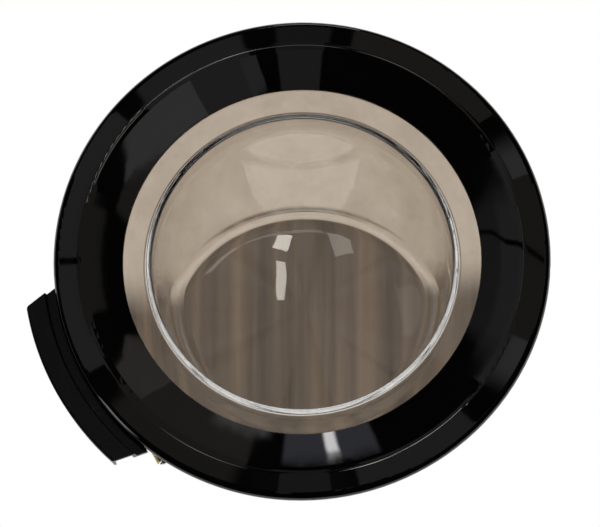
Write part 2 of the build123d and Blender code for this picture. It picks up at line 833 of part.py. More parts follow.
def hook_pin():
    """A riveted pin through both cheeks."""
    half = cheek_in + bracket_t + rivet_gap
    head_r = latch_pin_r + small_head_w
    pin = rod(hook_pin_at_r, latch_pin_y, -half, half, latch_pin_r)
    pin += rod(hook_pin_at_r, latch_pin_y, -half - small_head_h, -half, head_r)
    pin += rod(hook_pin_at_r, latch_pin_y, half, half + small_head_h, head_r)
    return turned(pin, latch_angle)


def hook_spring():
    start_t = hook_low + hook_w + spring_clear + hook_spring_wire / 2
    one = coil(
        hook_pin_at_r, latch_pin_y, start_t, hook_spring_mean_r, hook_spring_wire / 2,
        hook_spring_turns, hook_spring_wire + coil_gap / 2)
    return turned(one, latch_angle)


NODES = {
    "front_ring": front_ring,
    "glass_bowl": glass_bowl,
    "glass_cushion": glass_cushion,
    "back_frame": back_frame,
    "frame_screws": frame_screws,
    "door_buffers": door_buffers,
    "hinge_bracket": hinge_bracket,
    "hinge_pin": hinge_pin,
    "hinge_pin_clip": hinge_pin_clip,
    "hinge_arm": hinge_arm,
    "upper_hinge_bush": lambda: hinge_bush(1),
    "lower_hinge_bush": lambda: hinge_bush(-1),
    "arm_screws": arm_screws,
    "door_handle": door_handle,
    "handle_pin": handle_pin,
    "handle_pin_clip": handle_pin_clip,
    "handle_spring": handle_spring,
    "latch_hook": latch_hook,
    "hook_pin": hook_pin,
    "hook_spring": hook_spring,
    "latch_bracket": latch_bracket,
    "latch_screws": latch_screws,
}

os.makedirs("parts", exist_ok=True)
for name, make in NODES.items():
    export_step(make(), f"parts/{name}.step")
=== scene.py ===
import json
from math import cos, hypot, pi, radians, sin, sqrt, tan

import bmesh
import bpy
from mathutils import Matrix, Vector


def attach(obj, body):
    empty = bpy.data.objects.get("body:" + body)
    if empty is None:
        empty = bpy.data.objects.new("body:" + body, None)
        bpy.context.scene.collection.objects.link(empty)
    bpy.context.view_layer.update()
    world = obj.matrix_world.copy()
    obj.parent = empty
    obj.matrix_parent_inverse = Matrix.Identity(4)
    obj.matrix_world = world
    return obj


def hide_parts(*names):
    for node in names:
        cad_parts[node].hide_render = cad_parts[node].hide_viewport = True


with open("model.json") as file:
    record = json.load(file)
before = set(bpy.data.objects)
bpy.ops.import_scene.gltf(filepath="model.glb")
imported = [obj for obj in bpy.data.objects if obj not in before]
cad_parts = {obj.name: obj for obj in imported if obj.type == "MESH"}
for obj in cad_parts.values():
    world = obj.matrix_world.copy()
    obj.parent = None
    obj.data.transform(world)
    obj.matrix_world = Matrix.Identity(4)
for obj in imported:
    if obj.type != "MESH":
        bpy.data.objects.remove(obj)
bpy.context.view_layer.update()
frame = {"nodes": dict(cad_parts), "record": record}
nodes = frame["nodes"]

# Camera, as the photograph was taken: from below and a little to the right
IMAGE_SIZE = (600, 527)
VIEW_DISTANCE = 3.0
VIEW_ELEVATION = -16.0
VIEW_AZIMUTH = 1.4
LENS_MM = 184.26
SENSOR_MM = 36.0
ORIGIN_PIXEL = (302.6, 267.1)
CLIP_END = 50.0

# Glass bowl, in metres
GLASS_WALL = 0.0055
NECK_R = 0.152
NECK_END = 0.008
FLANGE_R = 0.187
FLANGE_FLAT_R = 0.174
FLANGE_FRONT = -0.026
FLANGE_WALL = 0.005
MOUTH_DROP = 0.005
MOUTH_ROUND = 0.0045
FLANGE_BEND = 0.009
HEEL_ROUND = 0.004
BOWL_END = 0.121
BOWL_DRAFT = radians(6.6)
DOME_RISE = 0.009
END_ROUND = 0.024
SLANT = radians(29.0)
SLANT_MARGIN = 0.001
CREASE_ROUND = 0.004
ANGLE_STEPS = 240
TANGENT_STEP = 0.0005

# Back frame: the opening's radius, the radius inside which a point is on its edge,
# and the largest part of a normal along the circle that comes from the mesh's flats
FRAME_OPENING_R = 0.1785
FRAME_EDGE_LIMIT = 0.170
FLAT_TWIST = 0.03

# Studio, in metres
ROOM_RADIUS = 30.0
ROOM_COLOUR = (0.012, 0.011, 0.010)
ROOM_BACK = 6.0
CARD_DISTANCE = 20.0
NEAR_CARDS = 15.0
WARM = (1.0, 0.95, 0.88)
GREY = (1.0, 0.98, 0.98)
BLUE = (0.82, 0.84, 1.0)
COOL = (0.96, 0.96, 1.0)

# Cards that mirror in the glass: azimuth, elevation, width and height in degrees,
# colour, strength, roll in degrees
CARDS = {
    "lamp_bar": (1.0, 13.4, 0.8, 3.6, WARM, 9.0, 0),
    "lamp_spot": (0.8, 9.6, 1.4, 1.6, WARM, 11.0, 20),
    "left_pane": (7.4, 10.4, 1.9, 4.6, WARM, 2.6, 24),
    "right_pane": (-4.5, 9.4, 1.9, 3.6, WARM, 2.8, -14),
    "far_right_pane": (-11.8, 16.5, 3.0, 5.0, WARM, 0.8, -12),
    "dome_top_glow": (1.5, 6.4, 9.0, 3.6, GREY, 1.6, 0),
    "top_edge_light": (4, 72, 14, 6, GREY, 5.0, 0),
    "low_right_light": (-75, -28, 26, 12, GREY, 3.0, 0),
}

# The ring's shiny faces, from their inner to their outer edge: radius, depth, lean in degrees
RING_FACES = {
    "slope": ((0.1740, -0.02941, 23.38), (0.2093, -0.04467, 23.38)),
    "crest": ((0.2093, -0.04467, 23.38), (0.2170, -0.04592, -5.0)),
    "band": ((0.2170, -0.04592, -5.0), (0.2336, -0.04447, -5.0)),
}

# Panels that mirror in the ring, placed for the photograph's camera: face, four corners
# (angle, share of the face's width), colour, strength, softness; a later panel lies nearer
LOW, HIGH = -0.6, 1.7
PANELS = {
    "right_band": ("band", (-38, LOW), (33, LOW), (33, HIGH), (-38, HIGH), COOL, 0.55, 0.12),
    "top_band": ("band", (82, LOW), (97, LOW), (97, HIGH), (82, HIGH), GREY, 0.17, 0.1),
    "upper_left_band": ("band", (104, LOW), (136, LOW), (134, HIGH), (104, HIGH), GREY, 0.29, 0.06),
    "left_band": ("band", (151, LOW), (204, LOW), (204, HIGH), (145, HIGH), WARM, 0.20, 0.05),
    "lower_left_band": ("band", (217, LOW), (256, LOW), (256, HIGH), (217, HIGH), WARM, 0.21, 0.12),
    "bottom_band": ("band", (255, LOW), (285, LOW), (285, HIGH), (255, HIGH), BLUE, 0.05, 0.2),
    "right_crest": ("crest", (-37, 0), (28, 0), (30, 1), (-37, 1), COOL, 0.33, 0.0),
    "top_crest": ("crest", (84, 0), (97, 0), (97, 1), (84, 1), GREY, 0.2, 0.0),
    "upper_left_crest": ("crest", (104, 0), (135, 0), (136, 1), (104, 1), GREY, 0.29, 0.0),
    "left_crest": ("crest", (162, 0), (196, 0), (202, 1), (155, 1), WARM, 0.20, 0.0),
    "lower_left_crest": ("crest", (214, 0), (256, 0), (256, 1), (217, 1), WARM, 0.23, 0.0),
    "right_slope": ("slope", (-36, 0.3), (24, 0.3), (29, HIGH), (-36, HIGH), COOL, 0.30, 0.25),
    "right_slope_low": ("slope", (-24, LOW), (16, LOW), (24, 0.6), (-32, 0.6), COOL, 0.18, 0.15),
    "top_slope": ("slope", (84, LOW), (97, LOW), (97, HIGH), (84, HIGH), GREY, 0.25, 0.06),
    "upper_left_slope": ("slope", (104, LOW), (146, LOW), (134, HIGH), (104, HIGH), GREY, 0.29, 0.04),
    "left_slope": ("slope", (136, LOW), (178, LOW), (165, 0.35), (146, 0.62), WARM, 0.22, 0.15),
    "left_slope_outer": ("slope", (166, 0.62), (196, 0.62), (199, HIGH), (160, HIGH), WARM, 0.20, 0.08),
    "lower_left_slope": ("slope", (201, LOW), (257, LOW), (257, HIGH), (215, HIGH), WARM, 0.26, 0.05),
    "upper_left_pane": ("slope", (157, 0.36), (121.6, LOW), (121.3, HIGH), (136, HIGH), GREY, 0.66, 0.02),
    "upper_slot": ("slope", (106.5, 0.0), (100.9, 0.0), (102.6, 1.3), (107.2, 1.3), GREY, 0.38, 0.04),
    "lower_left_pane": ("slope", (203.5, 0.2), (225.2, LOW), (223.0, 1.1), (212.5, 1.1), WARM, 0.50, 0.03),
    "bottom_left_edge": ("slope", (240, LOW), (262, LOW), (262, 0.2), (240, 0.2), GREY, 1.0, 0.2),
    "ceiling": ("slope", (264, LOW), (292, LOW), (292, 1.02), (264, 1.02), BLUE, 0.66, 0.06),
    "ceiling_lamp": ("slope", (275.6, LOW), (280.2, LOW), (281.6, 1.02), (276.6, 1.02), GREY, 13.0, 0.3),
    # These three panels give no light: their mirror image is a painted dark reflection, a stroke across the
    # ring's right side
    "dark_stroke_inner": ("slope", (10.0, -0.1), (8.6, -0.1), (1.6, 1.05), (3.2, 1.05), GREY, 0.0, 0.0),
    "dark_stroke_crest": ("crest", (3.2, 0.0), (1.6, 0.0), (0.6, 1.0), (2.2, 1.0), GREY, 0.0, 0.0),
    "dark_stroke_outer": ("band", (2.3, -0.1), (0.5, -0.1), (-3.2, 1.1), (-1.8, 1.1), GREY, 0.0, 0.0),
}

PANEL_STEPS = 24
LAYER_STEP = 0.02

# What shows through the glass: a pale cloth, and painted shadow below a line and inside an arch: dark tones
# with vertical streaks that are painted reflections
BACKING_Y = 0.6
BACKING_SIZE = 3.0
CLOTH = ((0.37, 0.30, 0.235), (0.45, 0.37, 0.29))
CLOTH_LIGHT = ((0.42, 0.35, 0.28), (0.50, 0.42, 0.34))
# Painted shadow: the dark tones behind the glass where the door's shade falls
PAINTED_SHADOW_TONES = ((0.030, 0.019, 0.011), (0.145, 0.100, 0.062))
ARCH_CENTRE = (-0.012, -0.042)
ARCH_SIZE = (0.157, 0.118)
ARCH_EDGE = (1.03, 0.97)
# Stretches the painted shadow's noise into vertical streaks, which are painted reflections
PAINTED_SHADOW_STRETCH = (26.0, 0.6, 1.0)
LINE_HEIGHT = -0.02
LINE_SLOPE = 0.05
LINE_BLUR = 0.03

FLOOR_HEIGHT = -1.0
FLOOR_SIZE = 24.0
WORLD_STRENGTH = 0.45

# Lamps: place, size, power
LAMPS = {
    "key": ((-1.2, -2.2, 2.4), 1.6, 60),
    "fill": ((1.8, -2.0, 0.6), 1.6, 20),
    "back": ((-0.9, 2.4, 1.8), 1.6, 60),
}

# How often light may pass or mirror in the glass's two faces before it is dropped
GLASS_BOUNCES = 24


# Small builders for node materials
def new_material(name):
    material = bpy.data.materials.new(name)
    material.use_nodes = True
    tree = material.node_tree
    tree.nodes.clear()
    out = tree.nodes.new("ShaderNodeOutputMaterial")
    shader = tree.nodes.new("ShaderNodeBsdfPrincipled")
    tree.links.new(shader.outputs[0], out.inputs[0])
    return material, tree, shader


def coordinates(tree, scale=(1, 1, 1)):
    place = tree.nodes.new("ShaderNodeTexCoord")
    mapping = tree.nodes.new("ShaderNodeMapping")
    mapping.inputs["Scale"].default_value = scale
    tree.links.new(place.outputs["Object"], mapping.inputs["Vector"])
    return mapping.outputs["Vector"]


def noise(tree, where, scale, detail=4.0, rough=0.55):
    node = tree.nodes.new("ShaderNodeTexNoise")
    node.inputs["Scale"].default_value = scale
    node.inputs["Detail"].default_value = detail
    node.inputs["Roughness"].default_value = rough
    tree.links.new(where, node.inputs["Vector"])
    return node.outputs["Fac"]


def ramp(tree, value, low, high, at=(0.35, 0.65)):
    """Turns a value into a number or a colour between low and high."""
    node = tree.nodes.new("ShaderNodeValToRGB")
    node.color_ramp.elements[0].position = at[0]
    node.color_ramp.elements[1].position = at[1]
    for element, colour in zip(node.color_ramp.elements, (low, high)):
        shade = (colour,) * 3 if isinstance(colour, (int, float)) else tuple(colour)
        element.color = (*shade, 1.0)
    tree.links.new(value, node.inputs["Fac"])
    return node.outputs["Color"]


def bump(tree, shader, height, strength, distance):
    node = tree.nodes.new("ShaderNodeBump")
    node.inputs["Strength"].default_value = strength
    node.inputs["Distance"].default_value = distance
    tree.links.new(height, node.inputs["Height"])
    tree.links.new(node.outputs["Normal"], shader.inputs["Normal"])


def mixed(tree, factor, a, b):
    node = tree.nodes.new("ShaderNodeMix")
    node.data_type = "RGBA"
    tree.links.new(factor, node.inputs["Factor"])
    for value, name in ((a, 6), (b, 7)):
        if isinstance(value, tuple):
            node.inputs[name].default_value = (*value, 1.0)
        else:
            tree.links.new(value, node.inputs[name])
    return node.outputs[2]


def math_node(tree, operation, *values):
    node = tree.nodes.new("ShaderNodeMath")
    node.operation = operation
    for i, value in enumerate(values):
        if isinstance(value, (int, float)):
            node.inputs[i].default_value = value
        else:
            tree.links.new(value, node.inputs[i])
    return node.outputs[0]


def smooth_step(tree, value, low, high):
    node = tree.nodes.new("ShaderNodeMapRange")
    node.interpolation_type = "SMOOTHSTEP"
    node.inputs["From Min"].default_value = low
    node.inputs["From Max"].default_value = high
    tree.links.new(value, node.inputs["Value"])
    return node.outputs["Result"]


def shown_where(tree, mask, light):
    """Shows a glow where the mask is one, and nothing where it is zero."""
    mix = tree.nodes.new("ShaderNodeMixShader")
    clear = tree.nodes.new("ShaderNodeBsdfTransparent")
    out = next(n for n in tree.nodes if n.type == "OUTPUT_MATERIAL")
    tree.links.new(mask, mix.inputs[0])
    tree.links.new(clear.outputs[0], mix.inputs[1])
    tree.links.new(light.outputs[0], mix.inputs[2])
    tree.links.new(mix.outputs[0], out.inputs[0])


def plain_surface(name, dark, light, rough, grain, depth, metallic=0.0, stretch=(1, 1, 1)):
    """A finish with mottled colour, uneven gloss and a fine grain."""
    material, tree, shader = new_material(name)
    broad = noise(tree, coordinates(tree, stretch), grain / 6, 3.0)
    fine = noise(tree, coordinates(tree, stretch), grain, 6.0)
    tree.links.new(ramp(tree, broad, dark, light), shader.inputs["Base Color"])
    tree.links.new(ramp(tree, fine, rough[0], rough[1]), shader.inputs["Roughness"])
    shader.inputs["Metallic"].default_value = metallic
    bump(tree, shader, fine, 0.35, depth)
    return material


def gloss_black():
    """High gloss black moulding with faint polishing marks and dust."""
    material, tree, shader = new_material("gloss black plastic")
    where = coordinates(tree)
    broad = noise(tree, where, 9.0, 3.0)
    fine = noise(tree, where, 900.0, 3.0)
    smears = noise(tree, coordinates(tree, (1, 1, 0.15)), 60.0, 5.0)
    base = ramp(tree, broad, (0.0004, 0.0004, 0.0004), (0.0009, 0.0008, 0.0008))
    tree.links.new(base, shader.inputs["Base Color"])
    tree.links.new(ramp(tree, smears, 0.012, 0.03), shader.inputs["Roughness"])
    shader.inputs["IOR"].default_value = 1.49
    bump(tree, shader, fine, 0.03, 0.00002)
    return material


def handle_black():
    """Black handle plastic, scuffed paler in places."""
    material, tree, shader = new_material("handle black plastic")
    where = coordinates(tree)
    broad = noise(tree, where, 25.0, 4.0)
    fine = noise(tree, where, 700.0, 4.0)
    scuffs = noise(tree, coordinates(tree, (1, 1, 0.5)), 160.0, 8.0, 0.7)
    marks = ramp(tree, scuffs, 0.0, 1.0, (0.66, 0.74))
    base = ramp(tree, broad, (0.0006, 0.0008, 0.0011), (0.0014, 0.0017, 0.0021))
    tree.links.new(mixed(tree, marks, base, (0.10, 0.105, 0.11)), shader.inputs["Base Color"])
    tree.links.new(ramp(tree, broad, 0.16, 0.32), shader.inputs["Roughness"])
    shader.inputs["IOR"].default_value = 1.25
    bump(tree, shader, fine, 0.2, 0.00005)
    return material


def door_glass():
    """Pressed clear glass with slight waves from the mould."""
    material, tree, shader = new_material("pressed glass")
    where = coordinates(tree)
    waves = noise(tree, where, 26.0, 2.0)
    dust = noise(tree, where, 420.0, 6.0, 0.7)
    tree.links.new(ramp(tree, dust, 0.0, 0.012, (0.55, 0.8)), shader.inputs["Roughness"])
    shader.inputs["Base Color"].default_value = (0.985, 0.975, 0.95, 1.0)
    shader.inputs["Transmission Weight"].default_value = 1.0
    shader.inputs["IOR"].default_value = 1.5
    bump(tree, shader, waves, 0.12, 0.0006)
    return material


def metal(name, dark, light, rough, stretch=(1, 1, 1)):
    return plain_surface(name, dark, light, rough, 240.0, 0.00004, 1.0, stretch)


def build_materials():
    zinc = dict(dark=(0.42, 0.43, 0.42), light=(0.60, 0.60, 0.58), rough=(0.24, 0.42))
    rubber = dict(rough=(0.6, 0.8), depth=0.0001)
    return {
        "black_gloss": gloss_black(),
        "door_glass": door_glass(),
        "handle_black": handle_black(),
        "cushion_rubber": plain_surface(
            "cushion rubber", (0.012,) * 3, (0.025,) * 3, grain=500.0, **rubber),
        "buffer_rubber": plain_surface(
            "buffer rubber", (0.02,) * 3, (0.04,) * 3, grain=600.0, **rubber),
        "frame_grey": plain_surface(
            "frame plastic", (0.016, 0.016, 0.018), (0.026, 0.026, 0.028), (0.42, 0.6), 700.0, 0.0001),
        "bush_white": plain_surface(
            "acetal", (0.72, 0.71, 0.66), (0.82, 0.81, 0.77), (0.35, 0.5), 400.0, 0.00005),
        "screw_zinc": metal("zinc plated screw", **zinc),
        "bracket_zinc": metal("zinc plated sheet", **zinc, stretch=(1, 1, 0.08)),
        "hook_zinc": metal("die-cast hook", (0.34, 0.34, 0.33), (0.5, 0.5, 0.48), (0.35, 0.55)),
        "arm_zinc": metal("die-cast arm", (0.34, 0.35, 0.36), (0.5, 0.51, 0.52), (0.35, 0.55)),
        "pin_steel": metal(
            "bright pin steel", (0.5, 0.5, 0.5), (0.66, 0.66, 0.65), (0.12, 0.28), (1, 1, 0.1)),
        "clip_steel": metal("blackened clip steel", (0.03, 0.03, 0.032), (0.07, 0.07, 0.075), (0.3, 0.5)),
        "spring_yellow": metal(
            "yellow passivated wire", (0.30, 0.23, 0.07), (0.50, 0.42, 0.18), (0.22, 0.4)),
    }


# The glass bowl's surface
def soft_min(a, b, k):
    """The lower of two lengths, blended over a width k."""
    h = max(k - abs(a - b), 0.0) / k
    return min(a, b) - h * h * k / 4


def wall_radius(angle, y, inset):
    """How far the bowl's wall lies from the axis, at an angle and a depth."""
    r = NECK_R - inset
    pot = r - (y - NECK_END) * tan(BOWL_DRAFT)
    centre = -(y - NECK_END) * tan(SLANT) + inset - inset / cos(SLANT)
    reach = r + SLANT_MARGIN
    slanted = centre * sin(angle) + sqrt(reach ** 2 - (centre * cos(angle)) ** 2)
    return soft_min(pot, slanted, CREASE_ROUND)


def dome_depth(radius, inset):
    """The end's depth at a distance from the axis: a shallow round dome."""
    end = BOWL_END - inset
    end_r = NECK_R - inset - (end - NECK_END) * tan(BOWL_DRAFT)
    ball = (end_r ** 2 + DOME_RISE ** 2) / (2 * DOME_RISE)
    return end + DOME_RISE - ball + sqrt(ball ** 2 - radius ** 2)


def bezier(p0, p1, p2, p3, t):
    u = 1 - t
    return tuple(u ** 3 * a + 3 * u * u * t * b + 3 * u * t * t * c + t ** 3 * d
                 for a, b, c, d in zip(p0, p1, p2, p3))


def bowl_profile(angle, inset, side_steps=26, round_steps=16, dome_steps=22):
    """Points (radius, depth) from the neck's end, along the wall and over the dome to the axis."""
    low, high = NECK_END, BOWL_END + DOME_RISE
    for _ in range(50):
        y = (low + high) / 2
        if y < dome_depth(wall_radius(angle, y, inset), inset):
            low = y
        else:
            high = y
    corner_y = low
    corner_r = wall_radius(angle, corner_y, inset)
    step = TANGENT_STEP
    side = Vector((wall_radius(angle, corner_y - step, inset) - corner_r, -step)).normalized()
    cap = Vector((-step, dome_depth(corner_r - step, inset) - corner_y)).normalized()
    turn = pi - side.angle(cap)
    reach = (END_ROUND - inset) * tan(turn / 2)
    side_y = corner_y + side.y * reach
    side_point = Vector((wall_radius(angle, side_y, inset), side_y))
    cap_r = corner_r + cap.x * reach
    cap_point = Vector((cap_r, dome_depth(cap_r, inset)))
    handle = 4 / 3 * tan(turn / 4) * (END_ROUND - inset)
    points = []
    for i in range(side_steps):
        y = NECK_END + (side_y - NECK_END) * i / side_steps
        points.append((wall_radius(angle, y, inset), y))
    for i in range(round_steps):
        t = i / round_steps
        points.append(bezier(side_point, side_point - side * handle, cap_point - cap * handle, cap_point, t))
    for i in range(dome_steps):
        r = cap_r * (1 - i / dome_steps)
        points.append((r, dome_depth(r, inset)))
    return points


def rounded(corners, radii, steps=8):
    """A run of points through corners, each inner corner rounded."""
    points = [corners[0]]
    for before, corner, after, radius in zip(corners, corners[1:], corners[2:], radii):
        c = Vector(corner)
        a = (Vector(before) - c).normalized()
        b = (Vector(after) - c).normalized()
        turn = pi - a.angle(b)
        reach = radius * tan(turn / 2)
        handle = 4 / 3 * tan(turn / 4) * radius
        start, end = c + a * reach, c + b * reach
        points += [bezier(start, start - a * handle, end - b * handle, end, i / steps)
                   for i in range(steps + 1)]
    points.append(corners[-1])
    return points


def flange_profile(inset):
    """Points from the flange's edge to the neck's end; inset 0 is the back, the wall is the front."""
    r = NECK_R - inset
    if inset:
        corners = [(FLANGE_R, FLANGE_FRONT), (FLANGE_FLAT_R, FLANGE_FRONT),
                   (r, FLANGE_FRONT + MOUTH_DROP), (r, NECK_END)]
        return rounded(corners, (FLANGE_BEND, MOUTH_ROUND))
    back = FLANGE_FRONT + FLANGE_WALL
    corners = [(FLANGE_R, back), (FLANGE_FLAT_R, back), (r, back + MOUTH_DROP), (r, NECK_END)]
    return rounded(corners, (FLANGE_BEND, HEEL_ROUND))


def bowl_mesh():
    """One closed glass wall: front face in, back face out."""
    verts, faces, rings = [], [], []
    for i in range(ANGLE_STEPS):
        angle = 2 * pi * i / ANGLE_STEPS
        front = flange_profile(GLASS_WALL)[:-1] + bowl_profile(angle, GLASS_WALL)
        back = flange_profile(0)[:-1] + bowl_profile(angle, 0)
        rings.append([(r * cos(angle), y, r * sin(angle)) for r, y in reversed(back)]
                     + [(r * cos(angle), y, r * sin(angle)) for r, y in front])
    count = len(rings[0])
    for ring in rings:
        verts += ring
    tips = len(verts)
    verts += [(0, dome_depth(0, 0), 0), (0, dome_depth(0, GLASS_WALL), 0)]
    for i in range(ANGLE_STEPS):
        a, b = i * count, (i + 1) % ANGLE_STEPS * count
        faces += [(a + j, b + j, b + j + 1, a + j + 1) for j in range(count - 1)]
        faces.append((tips, b, a))
        faces.append((tips + 1, a + count - 1, b + count - 1))
    mesh = bpy.data.meshes.new("glass")
    mesh.from_pydata(verts, [], faces)
    mesh.validate()
    mesh.shade_smooth()
    return mesh


def add_bowl(material):
    glass = bpy.data.objects.new("clear_glass_bowl", bowl_mesh())
    bpy.context.scene.collection.objects.link(glass)
    glass.data.materials.append(material)
    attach(glass, "door")
    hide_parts("glass_bowl")


def smooth_copy(node, name):
    """A copy of a turned piece whose shading follows the circle, not the mesh's flats."""
    mesh = nodes[node].data.copy()
    normals = [None] * len(mesh.loops)
    for loop, corner in zip(mesh.loops, mesh.corner_normals):
        place = mesh.vertices[loop.vertex_index].co
        around = Vector((-place.z, 0, place.x)).normalized()
        normal = corner.vector.copy()
        twist = normal.dot(around)
        if abs(twist) < FLAT_TWIST:
            normal = (normal - around * twist).normalized()
        normals[loop.index] = normal
    mesh.normals_split_custom_set(normals)
    obj = bpy.data.objects.new(name, mesh)
    bpy.context.scene.collection.objects.link(obj)
    return obj


def add_ring(material):
    ring = smooth_copy("front_ring", "front_ring_skin")
    ring.data.materials.clear()
    ring.data.materials.append(material)
    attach(ring, "door")
    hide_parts("front_ring")


def add_frame(material):
    """The back frame with its opening as wide as the photograph shows it."""
    shell = smooth_copy("back_frame", "back_frame_shell")
    for vert in shell.data.vertices:
        reach = hypot(vert.co.x, vert.co.z)
        if reach < FRAME_EDGE_LIMIT:
            vert.co.x *= FRAME_OPENING_R / reach
            vert.co.z *= FRAME_OPENING_R / reach
    shell.data.materials.clear()
    shell.data.materials.append(material)
    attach(shell, "door")
    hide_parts("back_frame")


# Studio
def direction(azimuth, elevation):
    """A unit vector; azimuth 0 is in front of the door, 90 at its right."""
    a, e = radians(azimuth), radians(elevation)
    return Vector((sin(a) * cos(e), -cos(a) * cos(e), sin(e)))


def emission(name, colour, strength):
    material = bpy.data.materials.new(name)
    material.use_nodes = True
    tree = material.node_tree
    tree.nodes.clear()
    out = tree.nodes.new("ShaderNodeOutputMaterial")
    light = tree.nodes.new("ShaderNodeEmission")
    light.inputs["Color"].default_value = (*colour, 1.0)
    light.inputs["Strength"].default_value = strength
    tree.links.new(light.outputs[0], out.inputs[0])
    return material, tree, light


def seen_only_by(obj, glossy=False, transmission=False):
    obj.visible_camera = False
    obj.visible_diffuse = False
    obj.visible_shadow = False
    obj.visible_volume_scatter = False
    obj.visible_glossy = glossy
    obj.visible_transmission = transmission


def add_plane(name, centre, facing, width, height, material, roll=0.0):
    mesh = bpy.data.meshes.new(name)
    corners = [(-0.5, -0.5, 0), (0.5, -0.5, 0), (0.5, 0.5, 0), (-0.5, 0.5, 0)]
    mesh.from_pydata(corners, [], [(0, 1, 2, 3)])
    mesh.materials.append(material)
    plane = bpy.data.objects.new(name, mesh)
    bpy.context.scene.collection.objects.link(plane)
    turn = facing.to_track_quat("Z", "Y").to_matrix().to_4x4()
    plane.matrix_world = (
        Matrix.Translation(centre) @ turn @ Matrix.Rotation(radians(roll), 4, "Z")
        @ Matrix.Diagonal((width, height, 1, 1)))
    return plane


def add_card(name, azimuth, elevation, width, height, colour, strength, roll=0.0):
    """A far light or dark panel that only shiny surfaces see; width and height in degrees."""
    toward = direction(azimuth, elevation)
    span = [2 * NEAR_CARDS * tan(radians(v / 2)) for v in (width, height)]
    material = emission(name, colour, strength)[0]
    card = add_plane(name, toward * NEAR_CARDS, -toward, *span, material, roll)
    seen_only_by(card, glossy=True)


def add_room():
    """The dim room in front of the door, seen by shiny surfaces alone."""
    material, _, _ = emission("dim room", ROOM_COLOUR, 1.0)
    mesh = bpy.data.meshes.new("room")
    room = bmesh.new()
    bmesh.ops.create_uvsphere(room, u_segments=48, v_segments=24, radius=ROOM_RADIUS)
    behind = [v for v in room.verts if v.co.y > ROOM_BACK]
    bmesh.ops.delete(room, geom=behind, context="VERTS")
    room.to_mesh(mesh)
    room.free()
    mesh.materials.append(material)
    obj = bpy.data.objects.new("room", mesh)
    bpy.context.scene.collection.objects.link(obj)
    seen_only_by(obj, glossy=True)


def reflected(place, normal, radius):
    """Where the camera's ray to a place ends, far in front, after its reflection."""
    toward = (place - direction(VIEW_AZIMUTH, VIEW_ELEVATION) * VIEW_DISTANCE).normalized()
    out = toward.reflect(normal)
    along = place.dot(out)
    return place + out * (sqrt(along ** 2 - place.length_squared + radius ** 2) - along)


def mirrored(face, angle, share, radius):
    (r0, y0, lean0), (r1, y1, lean1) = RING_FACES[face]
    a = radians(angle)
    r = r0 + (r1 - r0) * share
    lean = radians(lean0 + (lean1 - lean0) * share)
    place = Vector((r * cos(a), y0 + (y1 - y0) * share, r * sin(a)))
    normal = Vector((-sin(lean) * cos(a), -cos(lean), -sin(lean) * sin(a)))
    return reflected(place, normal, radius)


def panel_material(name, colour, strength, soft):
    """A glow that fades out towards the panel's edges."""
    material, tree, light = emission(name, colour, strength)
    if soft <= 0:
        return material
    uv = tree.nodes.new("ShaderNodeSeparateXYZ")
    tree.links.new(tree.nodes.new("ShaderNodeTexCoord").outputs["UV"], uv.inputs[0])
    mask = None
    for axis in (0, 1):
        for low, high in ((0.0, soft), (1.0, 1.0 - soft)):
            step = smooth_step(tree, uv.outputs[axis], low, high)
            mask = step if mask is None else math_node(tree, "MULTIPLY", mask, step)
    shown_where(tree, mask, light)
    return material


def add_panel(name, layer, face, a, b, c, d, colour, strength, soft):
    """A far panel whose mirror image fills one four-cornered patch of the ring."""
    radius = CARD_DISTANCE - layer * LAYER_STEP
    count = PANEL_STEPS + 1
    verts, shares = [], []
    for j in range(count):
        for i in range(count):
            u, v = i / PANEL_STEPS, j / PANEL_STEPS
            low = [p + (q - p) * u for p, q in zip(a, b)]
            high = [p + (q - p) * u for p, q in zip(d, c)]
            angle, share = [p + (q - p) * v for p, q in zip(low, high)]
            verts.append(mirrored(face, angle, share, radius))
            shares.append((u, v))
    faces = [(j * count + i, j * count + i + 1, (j + 1) * count + i + 1, (j + 1) * count + i)
             for j in range(PANEL_STEPS) for i in range(PANEL_STEPS)]
    mesh = bpy.data.meshes.new(name)
    mesh.from_pydata(verts, [], faces)
    uv = mesh.uv_layers.new(name="share")
    for loop in mesh.loops:
        uv.data[loop.index].uv = shares[loop.vertex_index]
    mesh.materials.append(panel_material(name, colour, strength, soft))
    obj = bpy.data.objects.new(name, mesh)
    bpy.context.scene.collection.objects.link(obj)
    seen_only_by(obj, glossy=True)


def add_reflections():
    add_room()
    for name, values in CARDS.items():
        add_card(name, *values)
    for layer, (name, values) in enumerate(PANELS.items()):
        add_panel(name, layer, *values)


def add_backing():
    """What lies behind the door, seen only through its glass: a pale cloth above painted shadow, dark and
    streaked with painted reflections.
    """
    material, tree, light = emission("behind the door", (1, 1, 1), 1.0)
    place = tree.nodes.new("ShaderNodeTexCoord").outputs["Object"]
    cloth = noise(tree, place, 22.0, 8.0, 0.65)
    weave = noise(tree, place, 160.0, 4.0, 0.7)
    pale = mixed(tree, weave, ramp(tree, cloth, *CLOTH), ramp(tree, cloth, *CLOTH_LIGHT))
    stripes = tree.nodes.new("ShaderNodeMapping")
    stripes.inputs["Scale"].default_value = PAINTED_SHADOW_STRETCH
    tree.links.new(place, stripes.inputs["Vector"])
    # Painted shadow, streaked with painted reflections, for below the line and inside the arch
    painted_shadow = ramp(tree, noise(tree, stripes.outputs["Vector"], 1.0, 5.0, 0.6), *PAINTED_SHADOW_TONES)
    tree.links.new(mixed(tree, painted_shadow_mask(tree, place), pale, painted_shadow), light.inputs["Color"])
    path = tree.nodes.new("ShaderNodeLightPath")
    shown_where(tree, math_node(tree, "GREATER_THAN", path.outputs["Transmission Depth"], 0.5), light)
    height = BACKING_Y * tan(radians(-VIEW_ELEVATION))
    card = add_plane("behind_the_door", (0, BACKING_Y, height), Vector((0, -1, 0)), 1, 1, material)
    card.data.transform(Matrix.Scale(BACKING_SIZE, 4))
    seen_only_by(card, glossy=True, transmission=True)


